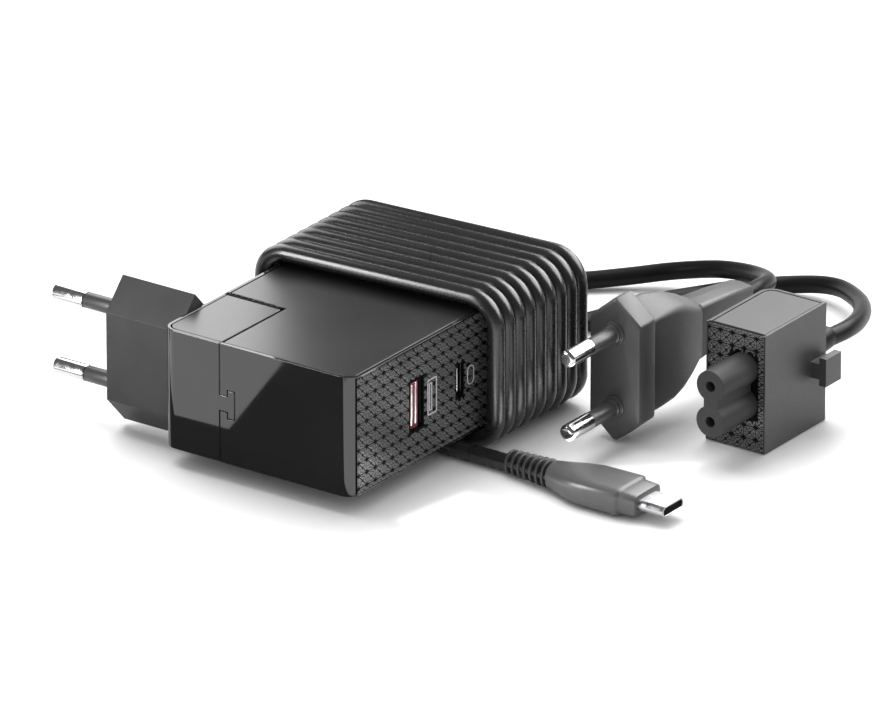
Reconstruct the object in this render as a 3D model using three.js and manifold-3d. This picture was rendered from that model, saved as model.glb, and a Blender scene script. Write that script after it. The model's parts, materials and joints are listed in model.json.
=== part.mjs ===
// USB wall charger with a wound cable, a slide-on plug module and an interchangeable mains lead.
// Millimetres, +Z up. The charger lies flat: -Y is its glossy side, +X its patterned end with the
// two ports, -X the side with the mains plug. z = 0 is the surface it lies on.
import * as THREE from "three";
import { mergeVertices } from "three/addons/utils/BufferGeometryUtils.js";
import { ConvexGeometry } from "three/addons/geometries/ConvexGeometry.js";
import Module from "manifold-3d";

// ---- driving dimensions -------------------------------------------------------------------
const GAP = 0.3; // between touching pieces
const SLIDE_GAP = 0.15; // running clearance of the sliding module on each face

const CABLE_D = 4; // captive USB cable
const CORD_D = 4.2; // mains cord
const TURNS = 9; // turns of cable round the body
const PITCH = 4.05; // from one turn to the next

const BODY = { width: 52.6, depth: 86, height: 28.8 };
const BODY_Z = CABLE_D + GAP; // the body lies on the turns of its cable
const MID_Z = BODY_Z + BODY.height / 2;
const CORNER = 3.5; // radius of the upright corners
const WALL = 1.6;
const RIM = 0.9; // glossy rim round the matte panels
const PANEL = 1.6; // thickness of the matte panels
const SEAM = 0.15; // open line round each matte panel
const SKIN = 0.8; // thickness of the patterned plates

const INLET = { width: 16, depth: 24.6, height: BODY.height }; // the slide-on module
const POCKET = { x: -BODY.width + INLET.width + 0.2, y: INLET.depth + 0.2 };
const RAIL = { neck: 2.25, head: 1.9, neckHalf: 1.9, headHalf: 3.4, length: 6.2 };

const EIGHT = { lobe: 3.75, offset: 4.3, waist: 3.6, length: 13 }; // figure-8 connector
const EIGHT_AT = { x: 10, z: -1 }; // its centre in the module's own frame
const CONTACT_R = 1.25;
const INLET_PIN_R = 1.05;

const EURO = { half: 17.65, length: 19, sleeve: 10.2, pin: 2, spacing: 18 }; // flat two-pin mains plug
const BOSS = { length: 20.5, halfWidth: 6.5, drop: 7, y: 13.4 };

const USB_A = { y: 24.7, width: 4.8, height: 12.2, depth: 14 };
const USB_C = { y: 41.35, width: 2.6, height: 8.2, depth: 8 };

const WINDING = { left: 3.2, right: 3.1, above: 0.95, inner: 3.6, lean: 1.1, first: 48.2, drift: 3.4 };
const WINDING_START = WINDING.first - CABLE_D / 2;
const WINDING_END = WINDING.first + (TURNS - 1) * PITCH + CABLE_D / 2;

const USB_PLUG = { y: 39, z: 3.4, relief: 14.3, grip: 26.8, front: 52.6, tip: 59.4 };
const BLOCK = { x: 39.1, y: 106.2 }; // left and back faces of the lead's adapter block
const LEAD_PLUG = { x: 23.4, front: 68.1, flange: 6.6, body: 97, tail: 119.4 };
const COIL = { x: -58, y: 112.5, radius: 21, across: 2 * CORD_D };

// Routes of the cords where they aren't coiled.
const USB_START_ROUTE = [
  [-46.6, 89.3, 18.7],
  [-50, 88.9, 18.4],
  [-54.2, 87.8, 16.3],
  [-56.6, 86.2, 12.6],
  [-56.6, 84.5, 9],
];
const USB_TAIL_ROUTE = [
  [-44, 40.6, 2],
  [-30, 40.6, 2],
  [-12, 40.7, 2],
  [0, 40.8, 2],
  [8, 41, 2],
  [14, 40.8, 2.1],
];
const BLOCK_SIDE_ROUTE = [
  [50.9, 114.2, 16.4],
  [50.6, 121.2, 15.8],
  [48.1, 129.6, 14.4],
  [43.2, 139, 12.3],
  [36.2, 148.6, 9.6],
  [27.5, 157.4, 6.8],
  [21.5, 161.8, 5.2],
  [15.5, 163.8, 3.8],
  [9.5, 163, 2.7],
  [4, 159.6, 2.2],
  [-1, 154.4, 2.1],
  [-5.3, 148, 2.1],
  [-11.5, 137.5, 2.1],
  [-15, 128, 2.1],
  [-18.5, 118, 2.1],
  [-22.5, 109, 2.1],
  [-28, 101, 2.1],
  [-35, 95.5, 2.1],
];
const PLUG_SIDE_ROUTE = [
  [23.4, 119.8, 17.6],
  [22.6, 127, 17.2],
  [19.5, 135.5, 15.1],
  [12.5, 143, 12.2],
  [3.5, 148.5, 9.4],
  [-6, 151.5, 6.7],
  [-16.5, 150, 4.2],
  [-25, 144, 2.9],
  [-33.5, 137, 2.2],
  [-42, 134.6, 2.6],
];

// The row's origin is under the middle of the charger and the adapter block together.
const ORIGIN = {
  x: (BLOCK.x + INLET.width + RAIL.neck + RAIL.head - BODY.width - BOSS.length - EURO.length) / 2,
  y: BLOCK.y / 2,
};

// ---- materials ----------------------------------------------------------------------------
function finish(color, roughness, metalness = 0) {
  return new THREE.MeshStandardMaterial({ color, roughness, metalness });
}
const GLOSS = finish(0x1c1c1e, 0.12);
const MATTE = finish(0x3a3a3c, 0.6);
const PATTERN = finish(0x2e2e30, 0.45);
const PLUG_PLASTIC = finish(0x4a4a4c, 0.55);
const SLEEVE = finish(0x3c3c3e, 0.4);
const CHROME = finish(0xd0d0d2, 0.15, 1);
const STEEL = finish(0xa8a8aa, 0.35, 1);
const BRASS = finish(0xb59a52, 0.35, 1);
const RUBBER = finish(0x29292b, 0.45);
const RED_PLASTIC = finish(0xa8324e, 0.4);
const BLACK_PLASTIC = finish(0x111113, 0.5);
const BOARD = finish(0x1e5a34, 0.6);
const COPPER = finish(0xb56b3a, 0.4, 1);
const FERRITE = finish(0x3b3b40, 0.7);
const CAPACITOR = finish(0x24304e, 0.35);
const ALUMINIUM = finish(0xb4b6ba, 0.4, 1);

// ---- solids -------------------------------------------------------------------------------
const wasm = await Module();
wasm.setup();

function toSolid(geometry) {
  const bare = geometry.clone();
  bare.deleteAttribute("normal");
  bare.deleteAttribute("uv");
  const merged = mergeVertices(bare, 1e-4);
  const vertProperties = merged.getAttribute("position").array;
  const triVerts = new Uint32Array(merged.index.array);
  return new wasm.Manifold(new wasm.Mesh({ numProp: 3, vertProperties, triVerts }));
}

function toGeometry(made) {
  const { vertProperties, triVerts } = made.getMesh();
  const geometry = new THREE.BufferGeometry();
  geometry.setAttribute("position", new THREE.BufferAttribute(vertProperties, 3));
  geometry.setIndex(new THREE.BufferAttribute(triVerts, 1));
  return geometry;
}

function join(...pieces) {
  return toGeometry(pieces.map(toSolid).reduce((a, b) => a.add(b)));
}

function cut(body, ...tools) {
  return toGeometry(tools.map(toSolid).reduce((a, b) => a.subtract(b), toSolid(body)));
}

// ---- shapes -------------------------------------------------------------------------------
function box(x, y, z) {
  const size = [x, y, z].map(([low, high]) => high - low);
  const middle = [x, y, z].map(([low, high]) => (low + high) / 2);
  return new THREE.BoxGeometry(...size).translate(...middle);
}

const TURN = {
  x: new THREE.Matrix4().makeBasis(...unit("y", "z", "x")),
  y: new THREE.Matrix4().makeBasis(...unit("x", "z", "-y")),
  z: new THREE.Matrix4(),
};

function unit(...names) {
  return names.map((name) => {
    const axis = new THREE.Vector3();
    axis[name.at(-1)] = name.length > 1 ? -1 : 1;
    return axis;
  });
}

// A flat shape pulled along an axis. Its own two directions are (y, z), (x, z) or (x, y).
function prism(shape, axis, [from, to], curveSegments = 6) {
  const options = { depth: to - from, bevelEnabled: false, steps: 1, curveSegments };
  const pulled = new THREE.ExtrudeGeometry(shape, options).applyMatrix4(TURN[axis]);
  const start = axis === "y" ? to : from;
  const move = { x: 0, y: 0, z: 0, [axis]: start };
  return pulled.translate(move.x, move.y, move.z);
}

function roundedRect([x0, x1], [y0, y1], radius) {
  const shape = new THREE.Shape();
  shape.absarc(x1 - radius, y1 - radius, radius, 0, Math.PI / 2);
  shape.absarc(x0 + radius, y1 - radius, radius, Math.PI / 2, Math.PI);
  shape.absarc(x0 + radius, y0 + radius, radius, Math.PI, Math.PI * 1.5);
  shape.absarc(x1 - radius, y0 + radius, radius, Math.PI * 1.5, Math.PI * 2);
  shape.closePath();
  return shape;
}

function around(middle, half) {
  return [middle - half, middle + half];
}

// A straight rod between two points, tapered if the radii differ.
function rod(from, to, radius, endRadius = radius, sides = 12) {
  const a = new THREE.Vector3(...from);
  const b = new THREE.Vector3(...to);
  const along = b.clone().sub(a);
  const geometry = new THREE.CylinderGeometry(endRadius, radius, along.length(), sides);
  const up = new THREE.Vector3(0, 1, 0);
  geometry.applyQuaternion(new THREE.Quaternion().setFromUnitVectors(up, along.normalize()));
  const middle = a.add(b).multiplyScalar(0.5);
  return geometry.translate(middle.x, middle.y, middle.z);
}

function cordTube(points, diameter, sides, spacing) {
  const path = new THREE.CatmullRomCurve3(points.map((p) => new THREE.Vector3(...p)));
  const section = new THREE.Shape().absarc(0, 0, diameter / 2, 0, Math.PI * 2);
  const steps = Math.round(path.getLength() / spacing);
  const options = { extrudePath: path, steps, curveSegments: sides, bevelEnabled: false };
  return new THREE.ExtrudeGeometry(section, options);
}

// The convex body through flat six-cornered sections across Y, each symmetric about x and z = middle.
function hexagonLoft(x, middle, sections) {
  const points = sections.flatMap(([y, halfWidth, side, ridge]) => [
    [-halfWidth, side],
    [0, ridge],
    [halfWidth, side],
    [halfWidth, -side],
    [0, -ridge],
    [-halfWidth, -side],
  ].map(([dx, dz]) => new THREE.Vector3(x + dx, y, middle + dz)));
  return new ConvexGeometry(points);
}

function hexagon(middleX, middleY, halfWidth, side, ridge) {
  const corners = [[1, side], [0, ridge], [-1, side], [-1, -side], [0, -ridge], [1, -side]];
  return new THREE.Shape(
    corners.map(([x, y]) => new THREE.Vector2(middleX + x * halfWidth, middleY + y)),
  );
}

// The outline of the two-hole connector, grown by a clearance.
function figureEight(x, z, grow = 0) {
  const radius = EIGHT.lobe + grow;
  const waist = Math.asin((EIGHT.waist / 2 + grow) / radius);
  const shape = new THREE.Shape();
  shape.absarc(x, z + EIGHT.offset, radius, waist - Math.PI / 2, Math.PI * 1.5 - waist);
  shape.absarc(x, z - EIGHT.offset, radius, waist + Math.PI / 2, Math.PI * 2.5 - waist);
  shape.closePath();
  return shape;
}

// ---- scene graph --------------------------------------------------------------------------
const charger = new THREE.Group();
charger.position.set(-ORIGIN.x, -ORIGIN.y, 0);

function add(parent, name, geometry, material) {
  const mesh = new THREE.Mesh(geometry, material);
  mesh.name = name;
  parent.add(mesh);
}

// ---- charger housing ----------------------------------------------------------------------
// The body's outline: a rectangle without the corner pocket.
function bodyOutline(inset, pocketInset) {
  const x1 = -inset;
  const y1 = BODY.depth - inset;
  const x0 = inset - BODY.width;
  const radius = Math.max(CORNER - inset, 0.6);
  const shape = new THREE.Shape();
  shape.moveTo(POCKET.x + pocketInset, inset);
  shape.lineTo(x1 - radius, inset);
  shape.absarc(x1 - radius, inset + radius, radius, -Math.PI / 2, 0);
  shape.absarc(x1 - radius, y1 - radius, radius, 0, Math.PI / 2);
  shape.absarc(x0 + radius, y1 - radius, radius, Math.PI / 2, Math.PI);
  shape.lineTo(x0, POCKET.y + pocketInset);
  shape.lineTo(POCKET.x + pocketInset, POCKET.y + pocketInset);
  shape.closePath();
  return shape;
}

function portOpening({ y, width, height }, grow, x) {
  const radius = width < 3 ? width / 2 + grow - 0.05 : 0.5;
  const opening = roundedRect(around(y, width / 2 + grow), around(MID_Z, height / 2 + grow), radius);
  return prism(opening, "x", x, 4);
}

const TOP = BODY_Z + BODY.height;
const SKIN_Y = [1.7, BODY.depth - 1.7];
const SKIN_Z = [BODY_Z + 0.4, TOP - 0.4];
const CONNECTOR = { x: EIGHT_AT.x - BODY.width, z: MID_Z + EIGHT_AT.z };
const BOOT = { x: -30, y: BODY.depth + 3.3, z: MID_Z };

function housing() {
  const band = prism(bodyOutline(0, 0), "z", [BODY_Z, TOP]);
  const rebate = PANEL + 0.25;
  const railBoss = box([POCKET.x + WALL - 0.1, POCKET.x + 5], [WALL - 0.1, 7.6], around(MID_Z, 5.2));
  const neck = { half: RAIL.neckHalf + SLIDE_GAP, end: POCKET.x - 0.2 + RAIL.neck - SLIDE_GAP };
  const headEnd = POCKET.x - 0.2 + RAIL.neck + RAIL.head + SLIDE_GAP;
  const slotY = [-1, RAIL.length + 0.2];
  return cut(
    join(
      cut(
        band,
        prism(bodyOutline(WALL, WALL), "z", [BODY_Z - 1, TOP + 1]),
        prism(bodyOutline(RIM - 0.1, -1), "z", [TOP - rebate, TOP + 1]),
        prism(bodyOutline(RIM - 0.1, -1), "z", [BODY_Z - 1, BODY_Z + rebate]),
      ),
      railBoss,
    ),
    box([-SKIN, 1], SKIN_Y, SKIN_Z),
    portOpening(USB_A, 0.7, [-4, 1]),
    portOpening(USB_C, 0.7, [-4, 1]),
    box([POCKET.x - 1, neck.end + 0.05], slotY, around(MID_Z, neck.half)),
    box([neck.end, headEnd], slotY, around(MID_Z, RAIL.headHalf + SLIDE_GAP)),
    prism(figureEight(CONNECTOR.x, CONNECTOR.z, 0.5), "y", [POCKET.y - 1, POCKET.y + 4], 10),
    rod([BOOT.x, BODY.depth - 4, BOOT.z], [BOOT.x, BODY.depth + 4, BOOT.z], 2.7),
  );
}

function flatPanel([low, high]) {
  return prism(bodyOutline(RIM + SEAM, 0.15 + SEAM), "z", [low, high]);
}

add(charger, "housing", housing(), GLOSS);
add(charger, "top_panel", flatPanel([TOP - PANEL - 0.05, TOP - 0.05]), MATTE);
add(charger, "bottom_panel", flatPanel([BODY_Z + 0.05, BODY_Z + PANEL + 0.05]), MATTE);

const portPlate = box(
  [-SKIN + 0.1, -0.02],
  [SKIN_Y[0] + 0.12, SKIN_Y[1] - 0.12],
  [SKIN_Z[0] + 0.12, SKIN_Z[1] - 0.12],
);
add(
  charger,
  "port_panel",
  cut(portPlate, portOpening(USB_A, 0.05, [-4, 1]), portOpening(USB_C, 0.05, [-4, 1])),
  PATTERN,
);

// ---- USB ports ----------------------------------------------------------------------------
function portShell(port) {
  const x = [-port.depth, -SKIN - 0.2];
  return cut(portOpening(port, 0.3, x), portOpening(port, 0, [-port.depth + 0.6, 1]));
}
add(charger, "usb_a_shell", portShell(USB_A), STEEL);
add(charger, "usb_c_shell", portShell(USB_C), STEEL);
const tongueLow = USB_A.y - USB_A.width / 2 + 0.2;
const tongue = box([-USB_A.depth + 0.9, -1.1], [tongueLow, tongueLow + 1.7], around(MID_Z, 5.5));
add(charger, "usb_a_tongue", tongue, RED_PLASTIC);
add(
  charger,
  "usb_c_tongue",
  box([-USB_C.depth + 0.9, -1], around(USB_C.y, 0.35), around(MID_Z, 3.3)),
  BLACK_PLASTIC,
);

// ---- inside the charger -------------------------------------------------------------------
const BOARD_Z = [8.2, 9.8];
const ON_BOARD = BOARD_Z[1] + GAP;
add(charger, "main_board", box([-48, -4.5], [46, 82], BOARD_Z), BOARD);
add(charger, "port_board", box([-16.3, -14.9], [10, 44.5], [9, 28.5]), BOARD);

const core = box([-36, -16], [51, 61], [ON_BOARD, 26]);
const window = [[-33, -28.4], [-23.6, -19]].map((x) => box(x, [50, 62], [12.6, 23.6]));
add(charger, "transformer_core", cut(core, ...window), FERRITE);
const bobbin = prism(roundedRect([-32.7, -19.3], [48, 64], 2), "z", [12.9, 23.3], 3);
const leg = box([-28.7, -23.3], [50.7, 61.3], [12, 24]);
add(charger, "transformer_winding", cut(bobbin, leg), COPPER);

add(charger, "input_capacitor", rod([-43.2, 49, 16.4], [-43.2, 70, 16.4], 6, 6, 16), CAPACITOR);
add(charger, "output_capacitor", rod([-10, 54, ON_BOARD], [-10, 54, 24], 4.4, 4.4, 14), CAPACITOR);
const choke = new THREE.TorusGeometry(4.2, 2.1, 7, 14).translate(-42, 76.5, ON_BOARD + 6.4);
add(charger, "filter_choke", choke, COPPER);
add(charger, "bridge_rectifier", box([-33, -29.4], [66.5, 79], [ON_BOARD, 21]), BLACK_PLASTIC);
const sink = new THREE.Shape([[0, 0], [13, 0], [13, 1.2], [1.2, 1.2], [1.2, 12], [0, 12]].map(
  ([x, y]) => new THREE.Vector2(x - 24, y + 67.5),
));
add(charger, "heatsink", prism(sink, "z", [ON_BOARD, 23]), ALUMINIUM);

const socketY = [POCKET.y + WALL + GAP, POCKET.y + EIGHT.length + 3.5];
const socketBody = prism(
  roundedRect(around(CONNECTOR.x, 6.3), around(CONNECTOR.z, 10.6), 2),
  "y",
  socketY,
  3,
);
const socketHollow = figureEight(CONNECTOR.x, CONNECTOR.z, 0.45);
const pinRoots = [1, -1].map((side) => {
  const z = CONNECTOR.z + side * EIGHT.offset;
  return rod([CONNECTOR.x, socketY[0] + 5, z], [CONNECTOR.x, socketY[1] + 2, z], INLET_PIN_R + GAP);
});
add(
  charger,
  "inlet_socket",
  cut(socketBody, prism(socketHollow, "y", [socketY[0] - 1, POCKET.y + EIGHT.length + 0.8], 10), ...pinRoots),
  BLACK_PLASTIC,
);
for (const [label, side] of [["upper", 1], ["lower", -1]]) {
  const z = CONNECTOR.z + side * EIGHT.offset;
  const from = [CONNECTOR.x, POCKET.y + 4, z];
  const to = [CONNECTOR.x, socketY[1] + 3, z];
  add(charger, `inlet_pin_${label}`, rod(from, to, INLET_PIN_R, INLET_PIN_R, 10), BRASS);
}

// ---- the module that slides into the pocket, and its twin on the mains lead ---------------
// Own frame: x = 0 is the outer side, y = 0 the glossy side, z = 0 the middle of its height.
function inletOutline(inset, right, back) {
  const radius = Math.max(CORNER - inset, 0.6);
  const shape = new THREE.Shape();
  shape.moveTo(INLET.width - right, inset);
  shape.lineTo(INLET.width - right, INLET.depth - back);
  shape.lineTo(inset, INLET.depth - back);
  shape.lineTo(inset, inset + radius);
  shape.absarc(inset + radius, inset + radius, radius, Math.PI, Math.PI * 1.5);
  shape.closePath();
  return shape;
}

const HALF = INLET.height / 2;
const BACK_WALL = 2.3;
const SPIGOT = { halfWidth: 3.6, half: 11.6, length: 3.2 };

function inletShell(spigotHole, pocketSide) {
  const rebate = PANEL + 0.25;
  const around8 = figureEight(EIGHT_AT.x, EIGHT_AT.z, GAP);
  const neckEnd = INLET.width + RAIL.neck;
  const holes = spigotHole
    ? [box([-1, 2], around(BOSS.y, SPIGOT.halfWidth + GAP), around(0, SPIGOT.half + GAP))]
    : [];
  return join(
    cut(
      prism(inletOutline(0, 0, 0), "z", [-HALF, HALF]),
      prism(inletOutline(WALL, WALL, BACK_WALL), "z", [-HALF - 1, HALF + 1]),
      prism(inletOutline(RIM - 0.1, pocketSide - 0.1, -1), "z", [HALF - rebate, HALF + 1]),
      prism(inletOutline(RIM - 0.1, RIM - 0.1, -1), "z", [-HALF - 1, rebate - HALF]),
      box([0.35, INLET.width - 0.35], [INLET.depth - SKIN, INLET.depth + 1], around(0, HALF + 1)),
      prism(around8, "y", [INLET.depth - 4, INLET.depth + 1], 10),
      ...holes,
    ),
    box([INLET.width - 0.5, neckEnd + 0.1], [0, RAIL.length], around(0, RAIL.neckHalf)),
    box([neckEnd, neckEnd + RAIL.head], [0, RAIL.length], around(0, RAIL.headHalf)),
  );
}

function connector() {
  const y = [INLET.depth - 5, INLET.depth + EIGHT.length];
  const holes = [1, -1].map((side) => {
    const z = EIGHT_AT.z + side * EIGHT.offset;
    return rod([EIGHT_AT.x, y[1] - 12, z], [EIGHT_AT.x, y[1] + 1, z], CONTACT_R, CONTACT_R, 14);
  });
  return cut(prism(figureEight(EIGHT_AT.x, EIGHT_AT.z), "y", y, 12), ...holes);
}

function contactStrip(side, reach) {
  const z = around(side * EURO.spacing / 2, 0.5);
  const y = [BOSS.y - 1.2, BOSS.y + 1.2];
  const foot = box([reach, EIGHT_AT.x + 1], y, z);
  const arm = box([EIGHT_AT.x - 1, EIGHT_AT.x + 1], [BOSS.y, INLET.depth - 5.4], z);
  return join(foot, arm);
}

// pocketSide is the width of the rim on the side that faces the pocket's wall.
function addInlet(parent, name, { spigotHole, pocketSide, reach }) {
  const skinY = [INLET.depth - SKIN + 0.1, INLET.depth - 0.03];
  const skin = box([0.45, INLET.width - 0.45], skinY, around(0, HALF - 0.05));
  const eightHole = prism(figureEight(EIGHT_AT.x, EIGHT_AT.z, GAP), "y", [20, 30], 10);
  const panelZ = [HALF - PANEL - 0.05, HALF - 0.05];
  add(parent, `${name}_shell`, inletShell(spigotHole, pocketSide), GLOSS);
  const top = inletOutline(RIM + SEAM, pocketSide + SEAM, SKIN + 0.05 + SEAM);
  add(parent, `${name}_top_panel`, prism(top, "z", panelZ), MATTE);
  const lowZ = panelZ.map((z) => -z).reverse();
  const bottom = inletOutline(RIM + SEAM, RIM + SEAM, SKIN + 0.05 + SEAM);
  add(parent, `${name}_bottom_panel`, prism(bottom, "z", lowZ), MATTE);
  add(parent, `${name}_patterned_plate`, cut(skin, eightHole), PATTERN);
  add(parent, `${name}_connector`, connector(), PLUG_PLASTIC);
  add(parent, `${name}_contact_upper`, contactStrip(1, reach), BRASS);
  add(parent, `${name}_contact_lower`, contactStrip(-1, reach), BRASS);
}

// ---- flat two-pin mains plug --------------------------------------------------------------
const SLEEVE_R = EURO.pin - 0.06;
const PIN_HOLE = SLEEVE_R + GAP;
const CORE_R = 1.35;

// Pins and sleeves along the local -X from x = 0, at +-spacing/2 in z.
function addPins(parent, name, root) {
  const r = EURO.pin;
  const neck = -EURO.sleeve - 0.2;
  const bore = CORE_R + 0.25;
  const profile = [[0, root], [CORE_R, root], [CORE_R, neck], [r, neck], [r, 1.2 - EURO.length],
    [r * 0.8, 0.4 - EURO.length], [0, -EURO.length]];
  const tube = [[bore, 2], [SLEEVE_R, 2], [SLEEVE_R, -EURO.sleeve], [bore, -EURO.sleeve], [bore, 2]];
  for (const [label, side] of [["upper", 1], ["lower", -1]]) {
    for (const [part, outline, material] of [["pin", profile, CHROME], ["sleeve", tube, SLEEVE]]) {
      const points = outline.map(([radius, x]) => new THREE.Vector2(radius, x)).reverse();
      const turned = new THREE.LatheGeometry(points, 14).rotateZ(-Math.PI / 2);
      add(parent, `${name}_${part}_${label}`, turned.translate(0, 0, side * EURO.spacing / 2), material);
    }
  }
}

function pinHoles(x, y) {
  return [1, -1].map((side) => {
    const z = side * EURO.spacing / 2;
    return rod([x[0], y, z], [x[1], y, z], PIN_HOLE, PIN_HOLE, 14);
  });
}

const plugModule = new THREE.Group();
plugModule.position.set(-BODY.width, 0, MID_Z);
charger.add(plugModule);
addInlet(plugModule, "module", { spigotHole: true, pocketSide: 0, reach: 5 });

const side = EURO.half - BOSS.drop;
const bossHexagon = hexagon(BOSS.y, 0, BOSS.halfWidth, side, EURO.half);
const spigot = box([-1, SPIGOT.length], around(BOSS.y, SPIGOT.halfWidth), around(0, SPIGOT.half));
const boss = join(prism(bossHexagon, "x", [-BOSS.length, -GAP]), spigot);
add(
  plugModule,
  "module_plug_body",
  cut(boss, ...pinHoles([-BOSS.length - 1, SPIGOT.length + 1], BOSS.y)),
  PLUG_PLASTIC,
);
const modulePins = new THREE.Group();
modulePins.position.set(-BOSS.length, BOSS.y, 0);
plugModule.add(modulePins);
addPins(modulePins, "module", BOSS.length + 4.6);

// ---- captive USB cable --------------------------------------------------------------------
// The turns as one sleeve, loose above the body. They lean towards the front as they cross the top.
function winding() {
  const innerX = [-BODY.width - WINDING.left, WINDING.right];
  const innerZ = [CABLE_D, TOP + GAP + WINDING.above];
  const outerX = [innerX[0] - CABLE_D, innerX[1] + CABLE_D];
  const outer = roundedRect(outerX, [0, innerZ[1] + CABLE_D], WINDING.inner + CABLE_D);
  outer.holes.push(roundedRect(innerX, innerZ, WINDING.inner));
  const sleeve = prism(outer, "y", [WINDING_START, WINDING_END], 6);
  const position = sleeve.getAttribute("position");
  for (let i = 0; i < position.count; i++) {
    const across = (outerX[1] - position.getX(i)) / (outerX[1] - outerX[0]);
    const up = position.getZ(i) / (innerZ[1] + CABLE_D);
    position.setX(i, position.getX(i) + WINDING.lean * across * up);
    position.setY(i, position.getY(i) - WINDING.drift * across * up);
  }
  return sleeve;
}

add(charger, "usb_cable_winding", winding(), RUBBER);
add(charger, "usb_cable_start", cordTube(USB_START_ROUTE, CABLE_D, 10, 4), RUBBER);
add(charger, "usb_cable_tail", cordTube(USB_TAIL_ROUTE, CABLE_D - 0.1, 10, 8), RUBBER);

const bootEnd = USB_START_ROUTE[0][0] + GAP;
add(
  charger,
  "cable_boot",
  join(
    rod([BOOT.x, BODY.depth - 3, BOOT.z], [BOOT.x, BOOT.y, BOOT.z], 2.3),
    prism(roundedRect(around(BOOT.x, 3.2), around(BOOT.z, 3.2), 1), "y", around(BOOT.y, 2.9), 3),
    rod([BOOT.x, BOOT.y, BOOT.z], [bootEnd, BOOT.y, BOOT.z], 2.9, 2.5),
  ),
  RUBBER,
);

// ---- USB-C plug ---------------------------------------------------------------------------
function plugSection(x, halfWidth, halfHeight, bevel) {
  const corners = [
    [halfWidth - bevel, halfHeight],
    [halfWidth, halfHeight - bevel],
  ];
  return corners.flatMap(([dy, dz]) => [[1, 1], [1, -1], [-1, 1], [-1, -1]].map(
    ([sy, sz]) => new THREE.Vector3(x, USB_PLUG.y + sy * dy, USB_PLUG.z + sz * dz),
  ));
}

const tailEnd = USB_TAIL_ROUTE.at(-1);
add(
  charger,
  "usb_plug_relief",
  rod([tailEnd[0] + GAP, tailEnd[1], 2.7], [USB_PLUG.grip - 0.7, USB_PLUG.y + 0.2, 3.3], 2.5, 3),
  RUBBER,
);
add(
  charger,
  "usb_plug_grip",
  new ConvexGeometry([
    ...plugSection(USB_PLUG.grip, 4, 3.1, 2),
    ...plugSection(34, 6.4, 3.4, 2),
    ...plugSection(50, 6.4, 3.4, 2),
    ...plugSection(USB_PLUG.front, 5.3, 2.6, 1.8),
  ]),
  RUBBER,
);
function stadium(halfWidth, halfHeight) {
  return roundedRect(around(USB_PLUG.y, halfWidth), around(USB_PLUG.z, halfHeight), halfHeight - 0.05);
}
add(
  charger,
  "usb_plug_shell",
  cut(
    prism(stadium(4.12, 1.2), "x", [USB_PLUG.front + GAP, USB_PLUG.tip], 4),
    prism(stadium(3.7, 0.8), "x", [USB_PLUG.front + 1.5, USB_PLUG.tip + 1], 4),
  ),
  STEEL,
);

// ---- interchangeable mains lead -----------------------------------------------------------
const adapter = new THREE.Group();
adapter.position.set(BLOCK.x, BLOCK.y, HALF);
adapter.rotation.x = Math.PI;
charger.add(adapter);
addInlet(adapter, "block", { spigotHole: false, pocketSide: RIM, reach: 2.2 });

const cordExit = BLOCK_SIDE_ROUTE[0];
add(
  charger,
  "block_cord_collar",
  rod([50.5, BLOCK.y + GAP, 16.5], [cordExit[0], cordExit[1] - 1, cordExit[2]], 3.3, 2.6),
  RUBBER,
);
add(charger, "mains_cord_block_side", cordTube(BLOCK_SIDE_ROUTE, CORD_D, 8, 7), RUBBER);
add(charger, "mains_cord_plug_side", cordTube(PLUG_SIDE_ROUTE, CORD_D, 8, 7), RUBBER);

const coilInner = COIL.radius - COIL.across / 2;
const coilOuter = COIL.radius + COIL.across / 2;
const coilProfile = [[coilInner, 0], [coilOuter, 0], [coilOuter, COIL.across], [coilInner, COIL.across],
  [coilInner, 0]].map(([radius, height]) => new THREE.Vector2(radius, height));
const coil = new THREE.LatheGeometry(coilProfile, 36).rotateX(Math.PI / 2).translate(COIL.x, COIL.y, 0);
add(charger, "mains_cord_coil", coil, RUBBER);

// The plug stands on its lower ridge, with its pins towards the front.
const plug = { x: LEAD_PLUG.x, z: EURO.half, neck: LEAD_PLUG.front + LEAD_PLUG.flange };
const flange = hexagonLoft(plug.x, plug.z, [
  [LEAD_PLUG.front, 6.85, 11.8, EURO.half],
  [plug.neck, 6.85, 11.8, EURO.half],
]);
const grip = hexagonLoft(plug.x, plug.z, [
  [plug.neck - 0.5, 6.2, 10.9, 15.8],
  [87.5, 6, 10.2, 12.6],
  [LEAD_PLUG.body, 4.4, 5.8, 8.2],
]);
const leadHoles = [1, -1].map((up) => {
  const z = plug.z + up * EURO.spacing / 2;
  const y = [LEAD_PLUG.front - 1, LEAD_PLUG.front + 9];
  return rod([plug.x, y[0], z], [plug.x, y[1], z], PIN_HOLE, PIN_HOLE, 14);
});
add(charger, "lead_plug_grip", cut(join(flange, grip), ...leadHoles), PLUG_PLASTIC);
add(
  charger,
  "lead_plug_tail",
  hexagonLoft(plug.x, plug.z, [
    [LEAD_PLUG.body + GAP, 4.1, 6.7, 7],
    [LEAD_PLUG.tail, 3.4, 4.1, 4.4],
  ]),
  RUBBER,
);
const leadPins = new THREE.Group();
leadPins.position.set(plug.x, LEAD_PLUG.front, plug.z);
leadPins.rotation.z = Math.PI / 2;
charger.add(leadPins);
addPins(leadPins, "lead", 8.4);

export default charger;
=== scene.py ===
"""A USB wall charger with its cable wound round it, a slide-on plug module and a mains lead.

Lengths below are in millimetres in the charger's own layout: x = 0 is the patterned end with the
ports, y = 0 the glossy side, z = 0 the floor. at() turns them into the frame's metres.
"""
import json
import math

import bmesh
import bpy
from mathutils import Matrix, Vector


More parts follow.
